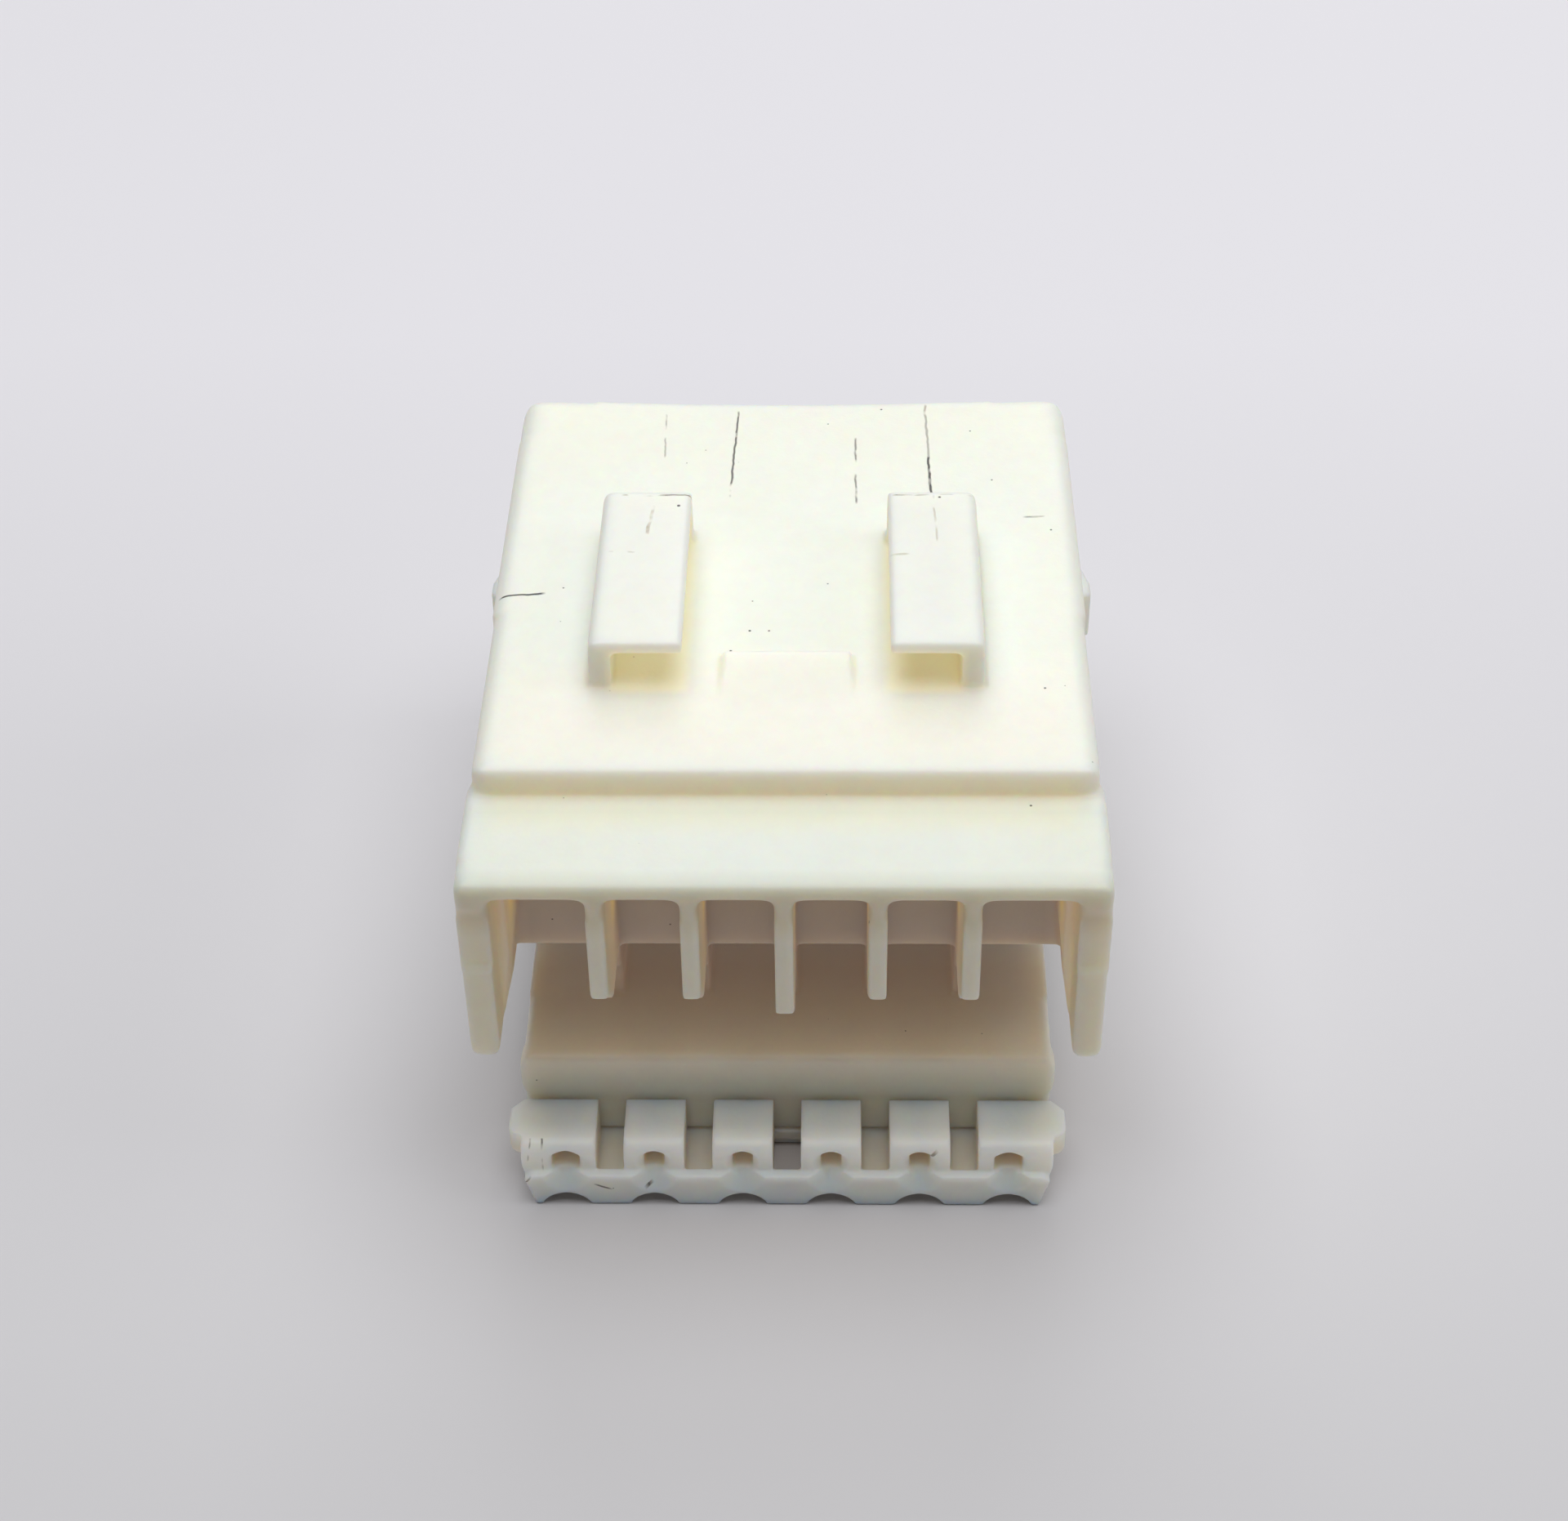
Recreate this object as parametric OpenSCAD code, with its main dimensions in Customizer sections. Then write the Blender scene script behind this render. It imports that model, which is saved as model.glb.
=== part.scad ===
// Wire to board connector housing: a moulded two-row contact housing with a hooded mating end,
// a clip seat on its top, and a separate front holder snapped in under its lower row.
// The mating end faces -Y, the wire end faces +Y, and the part stands on its flat underside at z = 0.

/* [Contacts] */
// Distance between neighbouring contacts in a row
contact_pitch = 2.5; // [2.4:0.05:3]
// Contacts in each of the two rows
contacts_per_row = 6; // [5:1:9]
// Width of one contact cavity
cavity_w = 1.9; // [1.6:0.05:2]
// Height of one contact cavity
cavity_h = 2.2; // [1.8:0.05:2.3]
// Floor between the lower and the upper row of cavities
row_floor = 0.7; // [0.4:0.05:0.9]
// Side of the square opening that a header pin enters by
pin_hole = 0.62; // [0.5:0.02:0.7]
// Height of the pins' axes above the floors of their cavities
pin_rise = 0.67; // [0.6:0.01:0.8]
// Thickness of the wall that the contacts stop against
stop_wall = 0.8; // [0.6:0.05:1.2]
// Depth of the flared lead-in round each upper pin opening
lead_in = 0.3; // [0.2:0.05:0.4]
// Distance from the body's front wall back to the upper row's stop wall
upper_stop = 2.8; // [2:0.1:4]
// Depth of the chamfer round each cavity's mouth at the wire end
mouth_chamfer = 0.15; // [0.1:0.01:0.2]

/* [Housing] */
// Length from the front of the hood to the wire end
housing_l = 22.2; // [20:0.2:28]
// Width that the upper body stands out past the contact block on each side
shoulder = 1.02; // [0.95:0.02:1.4]
// Height of the contact block's shoulders above the underside
shoulder_z = 4.88; // [4.6:0.02:5.2]
// Height of the upper body's top face above the underside
body_top = 12.3; // [12:0.1:14]
// Radius of the upper body's long edges
body_edge = 0.5; // [0.3:0.05:0.7]
// Radius of the upper body's rear corners
rear_corner = 0.55; // [0.3:0.05:0.8]
// Extra width of the body behind the part that enters the header, on each side
shell_step = 0.08; // [0.04:0.02:0.14]
// Length of that wider part, from the wire end
shell_l = 11.5; // [9:0.5:13]
// Thickness of the walls round the hollow over the contact block
hollow_wall = 0.95; // [0.8:0.05:1.1]
// Depth of that hollow from the wire end
hollow_depth = 13.5; // [10:0.5:14]
// Floor between the upper row of cavities and the hollow
hollow_floor = 0.6; // [0.5:0.05:0.8]

/* [Hood] */
// Depth of the hood in front of the upper body
hood_depth = 3.75; // [3.2:0.05:5]
// Thickness of the hood's roof
hood_roof = 0.55; // [0.45:0.05:0.8]
// Step down from the body's top to the hood's top
hood_drop = 0.82; // [0.5:0.02:1]
// Width that the hood stands out past the body on each side
hood_flare = 0.17; // [0.1:0.01:0.25]
// Thickness of the hood's side walls
hood_wall = 0.88; // [0.7:0.02:1.1]
// Radius of the hood's outer edges
hood_edge = 0.28; // [0.2:0.02:0.35]
// Height of the foot of each hood wall above the underside
hood_wall_foot = 8.4; // [8.2:0.05:9]
// Depth of the sunk field on the front face of each hood wall
wall_sink = 0.2; // [0.1:0.02:0.3]
// Height of the rim that is left above each sunk field
wall_rim = 0.9; // [0.7:0.05:1.2]
// Width of the guide finger below each hood wall
finger_w = 0.8; // [0.6:0.05:0.85]
// Distance that each finger is set in from the hood's side
finger_inset = 0.05; // [0.02:0.01:0.1]
// Depth of each guide finger
finger_depth = 1.6; // [1.2:0.1:2.2]
// Height of the guide fingers' tips above the underside
finger_foot = 5.2; // [4.9:0.05:5.6]
// Radius of the corners of the guide fingers' tips
finger_round = 0.3; // [0.2:0.02:0.3]
// Distance that the web behind each finger stands in from the hood wall
web_in = 0.25; // [0.1:0.01:0.3]
// Height above the underside from which the webs lean outward
web_lean_z = 7.5; // [7:0.1:8]
// Height of the webs' lower edges behind the fingers
web_foot = 5.45; // [5.3:0.05:6]

/* [Ribs and shelf] */
// Thickness of the ribs that part the contact positions
rib_t = 0.5; // [0.4:0.02:0.6]
// Height of the ribs' front tips above the underside
rib_tip_z = 7.3; // [7.1:0.05:8]
// Drop of the middle rib's tip below the others
middle_rib_drop = 0.55; // [0.2:0.05:0.7]
// Distance from a rib's tip back to its heel
rib_heel_y = 1.4; // [1:0.05:2]
// Drop from a rib's tip to its heel
rib_heel_drop = 1.2; // [0.8:0.05:1.2]
// Distance from the front of the hood to the front face of the contact block
shelf_setback = 1.45; // [1.2:0.05:2.2]
// Radius of the contact block's front corners
block_corner = 0.4; // [0.3:0.05:0.6]
// Distance that the band on the block's front face stands out on each side
band_out = 0.1; // [0.05:0.01:0.2]
// Length of that band back from the front face
band_l = 0.9; // [0.6:0.1:2]
// Drop from the shelf to the top of the band
band_drop = 0.15; // [0.05:0.05:0.4]
// Radius of the band's ends
band_round = 0.45; // [0.3:0.05:0.5]

/* [Clip seat] */
// Clear width between the two clip rails
rail_gap = 5.76; // [5:0.02:6.4]
// Width of each clip rail
rail_w = 2.62; // [2.3:0.02:2.8]
// Length of each clip rail
rail_l = 7.4; // [6:0.1:8]
// Distance from the front of the hood to the rails
rail_y = 7.4; // [6.9:0.1:9]
// Height of the rails above the body's top
rail_h = 1.52; // [1.2:0.02:1.8]
// Thickness of the rails' roofs
rail_roof = 0.4; // [0.3:0.02:0.5]
// Thickness of the rails' outer walls
rail_wall = 0.62; // [0.4:0.02:0.8]
// Thickness of the rails' rear walls
rail_end = 0.6; // [0.4:0.05:0.9]
// Radius of the rails' outer edges
rail_edge = 0.22; // [0.12:0.02:0.26]
// Width of the clip's locking wedge
wedge_w = 3.62; // [3:0.02:4]
// Length of the locking wedge
wedge_l = 1.9; // [1.4:0.1:2.4]
// Height of the locking wedge's step
wedge_h = 0.24; // [0.15:0.01:0.4]
// Distance from the front of the hood to the wedge's step
wedge_y = 8.8; // [8.2:0.1:10]

/* [Grip bumps] */
// Height that the grip bumps stand out of the body's sides
bump_h = 0.46; // [0.3:0.02:0.6]
// Length of each grip bump
bump_l = 2.4; // [1.8:0.1:3.4]
// Width of each grip bump
bump_w = 1.6; // [1:0.1:2.4]
// Height of the grip bumps' middle above the underside
bump_z = 9.5; // [8.5:0.1:10]
// Distance from the front of the hood to the steep face of the grip bumps
bump_y = 14.2; // [13:0.1:16]

/* [Front holder] */
// Height of the holder's arches above the underside
arch_top = 2.06; // [1.9:0.02:2.4]
// Width of each arch
arch_w = 1.7; // [1.5:0.05:1.8]
// Distance that the arches stand out in front of the hood
arch_front = 0.5; // [0.3:0.05:0.8]
// Radius of the arches' rolled front edges
arch_roll = 0.5; // [0.3:0.05:0.55]
// Distance that the front beam stands out in front of the arches
beam_out = 0.28; // [0.15:0.01:0.4]
// Height of the front beam
beam_h = 1.16; // [1.08:0.02:1.4]
// Front to back thickness of the beam
beam_t = 0.36; // [0.3:0.02:0.6]
// Radius of the funnels at the front of the beam
funnel_r = 0.66; // [0.56:0.02:0.7]
// Drop of the funnels' centres below the pins' axes
funnel_drop = 0.2; // [0.1:0.02:0.24]
// Radius of the shallow mouth round each pin slot
mouth_r = 0.5; // [0.44:0.02:0.54]
// Depth of those mouths from the front of the arches
mouth_depth = 0.2; // [0.1:0.02:0.3]
// Height of the slots behind the funnels
slot_h = 0.58; // [0.52:0.02:0.6]
// Width of the slots behind the funnels
slot_w = 0.58; // [0.52:0.02:0.7]
// Width of the slots in the two end arches
end_slot_w = 0.8; // [0.6:0.02:0.9]
// Radius of the scallops in the holder's underside
scallop_r = 0.76; // [0.6:0.02:0.8]
// Height of the scallops' crowns above the underside
scallop_h = 0.46; // [0.36:0.02:0.48]
// Thickness of the holder's locking plate
plate_t = 0.36; // [0.3:0.02:0.4]
// Length of the locking plate behind the contact block's front face
plate_l = 5; // [3:0.5:7]
// Clearance round the locking plate in its slot
plate_gap = 0.05; // [0.03:0.01:0.08]
// Floor of the contact block under the locking plate
slot_skin = 0.3; // [0.28:0.01:0.36]
// Margin from the contact block's sides to the plate's slot
slot_margin = 0.5; // [0.4:0.05:0.7]
// Clearance between the holder and the contact block's front face
face_gap = 0.06; // [0.03:0.01:0.1]
// Distance that the holder's side lugs stand out
lug_out = 0.38; // [0.3:0.02:0.5]
// Height of the side lugs
lug_h = 0.8; // [0.6:0.05:1]
// Distance that the holder's sides draw in towards its underside
side_draw = 0.36; // [0.2:0.02:0.4]

/* [Hidden] */

$fn = 48;
past = 0.05;                     // how far a cut runs past the face that it opens
nylon = [0.95, 0.94, 0.88];
holder_nylon = [0.93, 0.93, 0.89];

// The front of the beam is the foremost point, so the origin lies midway to the wire end.
front_reach = arch_front + beam_out;
y_hood = (front_reach - housing_l) / 2;          // front of the hood
y_rear = y_hood + housing_l;                     // wire end
y_body = y_hood + hood_depth;                    // front wall of the upper body
y_block = y_hood + shelf_setback;                // front face of the contact block
y_arch = y_hood - arch_front;
y_beam = y_arch - beam_out;

block_w = contacts_per_row * contact_pitch;
body_w = block_w + 2 * shoulder;
shell_w = body_w + 2 * shell_step;
hood_w = body_w + 2 * hood_flare;
hood_top = body_top - hood_drop;

plate_slot_h = plate_t + 2 * plate_gap;
lower_z = slot_skin + plate_slot_h;              // floor of the lower cavities
upper_z = lower_z + cavity_h + row_floor;        // floor of the upper cavities, level with the shelf
hollow_z = upper_z + cavity_h + hollow_floor;
pin_z = lower_z + pin_rise;                      // axes of the lower row's pins
funnel_z = pin_z - funnel_drop;
recess_w = contact_pitch - rib_t;                // the upper recesses reach from rib to rib
x_web = hood_w / 2 - hood_wall;                  // inner face of the hood's side walls
contact_x = [for (i = [0 : contacts_per_row - 1]) (i - (contacts_per_row - 1) / 2) * contact_pitch];
rib_x = [for (i = [1 : contacts_per_row - 1]) (i - contacts_per_row / 2) * contact_pitch];

// Rectangle from its lowest corner, with all four corners rounded.
module round_rect(w, h, r) {
    translate([r, 0]) square([w - 2 * r, h]);
    translate([0, r]) square([w, h - 2 * r]);
    for (x = [r, w - r], y = [r, h - r]) translate([x, y]) circle(r);
}

// Extrusions along Y of a shape drawn in X and Z, and along X of a shape drawn in Y and Z.
module along_y(y0, y1) translate([0, y1, 0]) rotate([90, 0, 0]) linear_extrude(y1 - y0) children();
module along_x(x0, x1)
    translate([x0, 0, 0]) rotate([90, 0, 90]) linear_extrude(x1 - x0) children();

// Block from its lowest corner, rounded on its edges along Y, upright, and along X.
module soft_block(low, size, edge_y, edge_z, edge_x) {
    intersection() {
        along_y(low[1], low[1] + size[1])
            translate([low[0], low[2]]) round_rect(size[0], size[2], edge_y);
        translate([low[0], low[1], low[2]])
            linear_extrude(size[2]) round_rect(size[0], size[1], edge_z);
        along_x(low[0], low[0] + size[0])
            translate([low[1], low[2]]) round_rect(size[1], size[2], edge_x);
    }
}

// Upper body: the wide part over the contact block, slightly wider behind what the header takes.
module upper_body() {
    soft_block([-body_w / 2, y_body, shoulder_z],
               [body_w, housing_l - hood_depth, body_top - shoulder_z],
               body_edge, rear_corner, hood_edge);
    soft_block([-shell_w / 2, y_rear - shell_l, shoulder_z],
               [shell_w, shell_l, body_top - shoulder_z],
               body_edge, rear_corner, hood_edge);
}

// Contact block: the narrower lower part that the upper body stands on.
module contact_block() {
    block_l = y_rear - y_block;
    soft_block([-block_w / 2, y_block, 0], [block_w, block_l, upper_z],
               block_corner, hood_edge, hood_edge);
    translate([-block_w / 2, y_body + hood_edge, upper_z / 2])
        cube([block_w, y_rear - y_body - 2 * hood_edge, hollow_z - upper_z / 2]);
}

// Hood: the thin roof and side walls that reach forward over the header's pins.
module hood() {
    roof_l = hood_depth + 2 * hood_edge;
    difference() {
        soft_block([-hood_w / 2, y_hood, hood_wall_foot - 2 * hood_edge],
                   [hood_w, roof_l, hood_top - hood_wall_foot + 2 * hood_edge],
                   hood_edge, hood_edge, hood_edge);
        translate([-hood_w / 2 + hood_wall, y_hood - past, hood_wall_foot - 3 * hood_edge])
            cube([hood_w - 2 * hood_wall, roof_l + 2 * past,
                  hood_top - hood_roof - hood_wall_foot + 3 * hood_edge]);
        translate([-hood_w / 2 - past, y_hood - past, hood_wall_foot - 3 * hood_edge])
            cube([hood_w + 2 * past, hood_depth + past, 3 * hood_edge]);
    }
}

// Guide finger under one hood wall, with a rounded tip.
module finger(side) {
    x_out = hood_w / 2 - finger_inset;
    mirror([side < 0 ? 1 : 0, 0, 0])
        along_y(y_hood, y_hood + finger_depth)
            translate([x_out - finger_w, finger_foot])
                round_rect(finger_w, hood_wall_foot + 2 * finger_round - finger_foot, finger_round);
}

// Sunk field on the front face of one hood wall, with a slanted lower edge.
module wall_field(side) {
    mirror([side < 0 ? 1 : 0, 0, 0])
        along_x(x_web - past, hood_w / 2 + past)
            polygon([[y_hood - past, hood_top - wall_rim], [y_hood + wall_sink, hood_top - wall_rim],
                     [y_hood + wall_sink, hood_wall_foot + wall_sink],
                     [y_hood - past, hood_wall_foot - past]]);
}

// Web behind one guide finger: it leans outward below and runs back into the body's front wall.
module hood_web(side) {
    x_out = body_w / 2 - body_edge;
    z_top = hood_top - hood_roof / 2;
    y_front = y_hood + finger_depth - past;
    mirror([side < 0 ? 1 : 0, 0, 0])
        intersection() {
            along_y(y_front, y_body + hood_edge)
                polygon([[x_web - web_in, z_top], [x_web - web_in, web_lean_z],
                         [x_web, web_foot], [x_web, shoulder_z], [x_out, shoulder_z], [x_out, z_top]]);
            along_x(x_web - web_in, x_out)
                polygon([[y_front, z_top], [y_front, web_foot],
                         [y_body, shoulder_z], [y_body + hood_edge, shoulder_z],
                         [y_body + hood_edge, z_top]]);
        }
}

// Rib between two contacts: it hangs from the hood's roof and runs back to the body's front wall.
module rib(x, tip_z) {
    translate([x, 0, 0])
        along_x(-rib_t / 2, rib_t / 2) {
            polygon([[y_hood + rib_t / 2, hood_top - hood_roof / 2],
                     [y_hood + rib_t / 2, tip_z],
                     [y_hood + rib_heel_y, tip_z - rib_heel_drop],
                     [y_body + hood_edge, upper_z + cavity_h],
                     [y_body + hood_edge, hood_top - hood_roof / 2]]);
            translate([y_hood, tip_z + rib_t / 2])
                square([rib_t, hood_top - hood_roof - tip_z - rib_t / 2]);
            translate([y_hood + rib_t / 2, tip_z + rib_t / 2]) circle(rib_t / 2);
        }
}

module ribs() {
    for (x = rib_x) rib(x, abs(x) < contact_pitch / 4 ? rib_tip_z - middle_rib_drop : rib_tip_z);
}

// Rounded band across the contact block's front face, slightly wider than the block.
module front_band() {
    w = block_w + 2 * band_out;
    h = upper_z - band_drop - arch_top;
    soft_block([-w / 2, y_block, arch_top], [w, band_l, h], band_round, hood_edge, hood_edge / 2);
}

// Clip rail: an outer wall with a roof that reaches inward, closed at its rear end.
module clip_rail(side) {
    x_in = rail_gap / 2;
    y_rail = y_hood + rail_y;
    root = body_top - rail_roof;
    mirror([side < 0 ? 1 : 0, 0, 0])
        difference() {
            intersection() {
                along_y(y_rail, y_rail + rail_l)
                    translate([x_in, root])
                        union() {
                            square([rail_w - rail_edge, body_top + rail_h - root]);
                            square([rail_w, body_top + rail_h - root - rail_edge]);
                            translate([rail_w - rail_edge, body_top + rail_h - root - rail_edge])
                                circle(rail_edge);
                        }
                translate([x_in, y_rail, root])
                    linear_extrude(body_top + rail_h - root) {
                        square([rail_w, rail_l - rail_edge]);
                        square([rail_w - rail_edge, rail_l]);
                        translate([rail_w - rail_edge, rail_l - rail_edge]) circle(rail_edge);
                    }
            }
            translate([x_in - past, y_rail - past, body_top])
                cube([rail_w - rail_wall + past, rail_l - rail_end + past, rail_h - rail_roof]);
        }
}

// Locking wedge between the rails: a ramp that rises from the front to a step.
module clip_wedge() {
    y_step = y_hood + wedge_y;
    along_x(-wedge_w / 2, wedge_w / 2)
        polygon([[y_step - wedge_l, body_top - wedge_h], [y_step - wedge_l, body_top],
                 [y_step, body_top + wedge_h], [y_step, body_top - wedge_h]]);
}

// Grip bump: a steep face that faces the mating end and a long ramp towards the wires.
module grip_bump(side) {
    y_steep = y_hood + bump_y;
    mirror([side < 0 ? 1 : 0, 0, 0])
        translate([0, 0, bump_z - bump_w / 2])
            linear_extrude(bump_w)
                polygon([[body_w / 2 - bump_h, y_steep], [shell_w / 2, y_steep],
                         [shell_w / 2 + bump_h, y_steep + bump_h / 2],
                         [shell_w / 2 + bump_h, y_steep + bump_l / 3],
                         [shell_w / 2, y_steep + bump_l], [body_w / 2 - bump_h, y_steep + bump_l]]);
}

// Square frustum along Y: side a at y0, side b at y1.
module square_funnel(x, z, y0, a, y1, b) {
    intersection() {
        along_x(x - a - b, x + a + b)
            polygon([[y0, z - a / 2], [y1, z - b / 2], [y1, z + b / 2], [y0, z + a / 2]]);
        translate([x, 0, z - a - b])
            linear_extrude(2 * (a + b))
                polygon([[-a / 2, y0], [-b / 2, y1], [b / 2, y1], [a / 2, y0]]);
    }
}

// Contact cavity, open at the wire end and closed at its front by a wall with a pin opening.
module contact_cavity(x, z, y_stop) {
    y_front = y_stop + stop_wall;
    translate([x - cavity_w / 2, y_front, z])
        cube([cavity_w, y_rear - y_front + past, cavity_h]);
    translate([x - pin_hole / 2, y_stop - past, z + pin_rise - pin_hole / 2])
        cube([pin_hole, stop_wall + 2 * past, pin_hole]);
    translate([x, 0, z + cavity_h / 2])
        intersection() {
            along_x(-cavity_w, cavity_w)
                polygon([[y_rear - mouth_chamfer, -cavity_h / 2],
                         [y_rear + past, -cavity_h / 2 - mouth_chamfer - past],
                         [y_rear + past, cavity_h / 2 + mouth_chamfer + past],
                         [y_rear - mouth_chamfer, cavity_h / 2]]);
            translate([0, 0, -cavity_h])
                linear_extrude(2 * cavity_h)
                    polygon([[-cavity_w / 2, y_rear - mouth_chamfer],
                             [-cavity_w / 2 - mouth_chamfer - past, y_rear + past],
                             [cavity_w / 2 + mouth_chamfer + past, y_rear + past],
                             [cavity_w / 2, y_rear - mouth_chamfer]]);
        }
}

// Recess in front of an upper cavity, with the flared lead-in of its pin opening at x.
module upper_recess(x, x0, x1) {
    translate([x0, y_body - past, upper_z])
        cube([x1 - x0, upper_stop + past, cavity_h]);
    square_funnel(x, upper_z + pin_rise, y_body + upper_stop - past, pin_hole + 2 * lead_in,
                  y_body + upper_stop + lead_in, pin_hole);
}

// Hollow over the contact block, open at the wire end, that keeps the walls even.
module body_hollow() {
    w = body_w - 2 * hollow_wall;
    h = body_top - hollow_wall - hollow_z;
    along_y(y_rear - hollow_depth, y_rear + past)
        translate([-w / 2, hollow_z]) round_rect(w, h, hood_edge);
}

// Slot under the lower cavities that takes the holder's locking plate.
module plate_slot() {
    slot_half = block_w / 2 - slot_margin;
    translate([-slot_half, y_block - past, slot_skin])
        cube([2 * slot_half, plate_l + plate_gap + past, plate_slot_h]);
}

module housing() {
    last = contacts_per_row - 1;
    color(nylon)
        difference() {
            union() {
                upper_body();
                contact_block();
                front_band();
                hood();
                ribs();
                for (side = [-1, 1]) {
                    finger(side);
                    hood_web(side);
                    clip_rail(side);
                    grip_bump(side);
                }
                clip_wedge();
            }
            for (i = [0 : last]) {
                x = contact_x[i];
                contact_cavity(x, lower_z, y_block);
                contact_cavity(x, upper_z, y_body + upper_stop);
                upper_recess(x, i == 0 ? -x_web : x - recess_w / 2, i == last ? x_web : x + recess_w / 2);
            }
            for (side = [-1, 1]) wall_field(side);
            body_hollow();
            plate_slot();
        }
}

// Arch over one pin opening, rolled over at its front; the end arches run out to the sides.
module arch(x0, x1) {
    y_back = y_block - face_gap;
    foot = slot_skin + plate_gap;
    along_x(x0, x1) {
        translate([y_arch, foot]) square([y_back - y_arch, arch_top - arch_roll - foot]);
        translate([y_arch + arch_roll, foot])
            square([y_back - y_arch - arch_roll, arch_top - foot]);
        translate([y_arch + arch_roll, arch_top - arch_roll]) circle(arch_roll);
    }
}

// Side lug of the holder: ramped towards the housing and rounded at its front.
module side_lug(side) {
    y_back = y_block - face_gap;
    y_nose = y_arch + arch_roll;
    x_side = block_w / 2;
    mirror([side < 0 ? 1 : 0, 0, 0])
        translate([x_side, 0, arch_top - lug_h])
            linear_extrude(lug_h) {
                polygon([[-lug_out, y_nose], [0, y_nose], [lug_out, y_nose + lug_out],
                         [lug_out, y_back - lug_out], [0, y_back], [-lug_out, y_back]]);
                translate([0, y_nose + lug_out]) circle(lug_out);
            }
}

// Cut that draws one side of the holder in below its lug.
module drawn_side(side) {
    x_side = block_w / 2;
    z_lug = arch_top - lug_h;
    mirror([side < 0 ? 1 : 0, 0, 0])
        along_y(y_beam - past, y_block)
            polygon([[x_side - side_draw, -past], [x_side - side_draw, 0],
                     [x_side, z_lug], [x_side + past, z_lug], [x_side + past, -past]]);
}

// Funnel, pin slot and underside scallop at one contact.
module pin_way(x, width) {
    translate([x, y_beam, funnel_z])
        rotate([-90, 0, 0]) cylinder(h = beam_out, r1 = funnel_r, r2 = slot_w / 2);
    translate([x, y_arch, pin_z])
        rotate([-90, 0, 0]) cylinder(h = mouth_depth, r1 = mouth_r, r2 = slot_w / 2);
    translate([x - width / 2, y_arch - past, pin_z - slot_h / 2])
        cube([width, y_block - y_arch + 2 * past, slot_h]);
    translate([x, y_beam - past, scallop_h - scallop_r])
        rotate([-90, 0, 0]) cylinder(h = y_block - y_beam + 2 * past, r = scallop_r);
}

module front_holder() {
    last = contacts_per_row - 1;
    y_back = y_block - face_gap;
    plate_half = block_w / 2 - slot_margin - plate_gap;
    color(holder_nylon)
        difference() {
            union() {
                soft_block([-block_w / 2, y_beam, 0], [block_w, beam_t, beam_h],
                           block_corner, beam_out / 2, beam_out / 4);
                translate([-block_w / 2, y_beam + beam_t / 2, 0])
                    cube([block_w, y_back - y_beam - beam_t / 2, slot_skin + plate_gap + plate_t]);
                translate([-plate_half, y_arch, slot_skin + plate_gap])
                    cube([2 * plate_half, y_block + plate_l - y_arch, plate_t]);
                for (i = [0 : last])
                    arch(i == 0 ? -block_w / 2 : contact_x[i] - arch_w / 2,
                         i == last ? block_w / 2 : contact_x[i] + arch_w / 2);
                for (side = [-1, 1]) side_lug(side);
            }
            for (i = [0 : last])
                pin_way(contact_x[i], i == 0 || i == last ? end_slot_w : slot_w);
            translate([-(contact_pitch - arch_w) / 2, y_beam + beam_t, -past])
                cube([contact_pitch - arch_w, y_back - y_beam - beam_t, lower_z + 2 * past]);
            for (side = [-1, 1]) drawn_side(side);
        }
}

housing();
front_holder();
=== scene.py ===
import math

import bmesh
import bpy
from mathutils import Matrix, Vector


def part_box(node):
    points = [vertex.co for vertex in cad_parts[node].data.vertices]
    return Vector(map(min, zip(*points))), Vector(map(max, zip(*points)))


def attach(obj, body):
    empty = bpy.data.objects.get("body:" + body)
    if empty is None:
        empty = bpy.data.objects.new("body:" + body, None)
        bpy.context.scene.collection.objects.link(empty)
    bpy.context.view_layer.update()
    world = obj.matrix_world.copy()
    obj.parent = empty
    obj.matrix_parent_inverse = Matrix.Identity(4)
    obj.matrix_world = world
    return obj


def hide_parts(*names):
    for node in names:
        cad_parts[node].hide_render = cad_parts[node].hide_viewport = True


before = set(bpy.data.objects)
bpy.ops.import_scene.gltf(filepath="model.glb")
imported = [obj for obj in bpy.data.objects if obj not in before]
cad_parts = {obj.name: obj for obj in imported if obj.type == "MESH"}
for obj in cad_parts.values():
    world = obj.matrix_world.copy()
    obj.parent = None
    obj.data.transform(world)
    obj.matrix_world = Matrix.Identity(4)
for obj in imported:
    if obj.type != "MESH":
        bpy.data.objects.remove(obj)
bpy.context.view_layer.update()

bl_info = {
    "name": "Wire to board connector housing",
    "version": (1, 0, 0),
    "blender": (4, 5, 0),
    "location": "3D View > Sidebar > Connector",
    "description": "Dresses a moulded nylon connector housing and sets its stage",
    "category": "Object",
}

MM = 0.001                       # one millimetre in scene units
MERGE = 0.001 * MM               # points closer than this are one point
LINE_REACH = 0.25 * MM           # how far off its surface a line of dirt still shows
HOUSING_LOW, HOUSING_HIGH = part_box("housing")
HOLDER_LOW, HOLDER_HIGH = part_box("front_holder")
TOP, RAIL_TOP, HOOD_TOP = 12.3, 13.82, 11.48     # heights of the top face, the rails and the hood, in mm
FRONT, REAR = HOUSING_LOW.y / MM, HOUSING_HIGH.y / MM    # hood's front and wire end, in mm
UP, FORWARD, BACKWARD, LEFT = (0, 0, 1), (0, -1, 0), (0, 1, 0), (-1, 0, 0)

FLOOR_REACH = 0.6                # half the floor's side, in m
FLOOR_FADE = 70 * MM             # length over which the floor's colour changes, from the painted shade in front to the far colour

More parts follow.
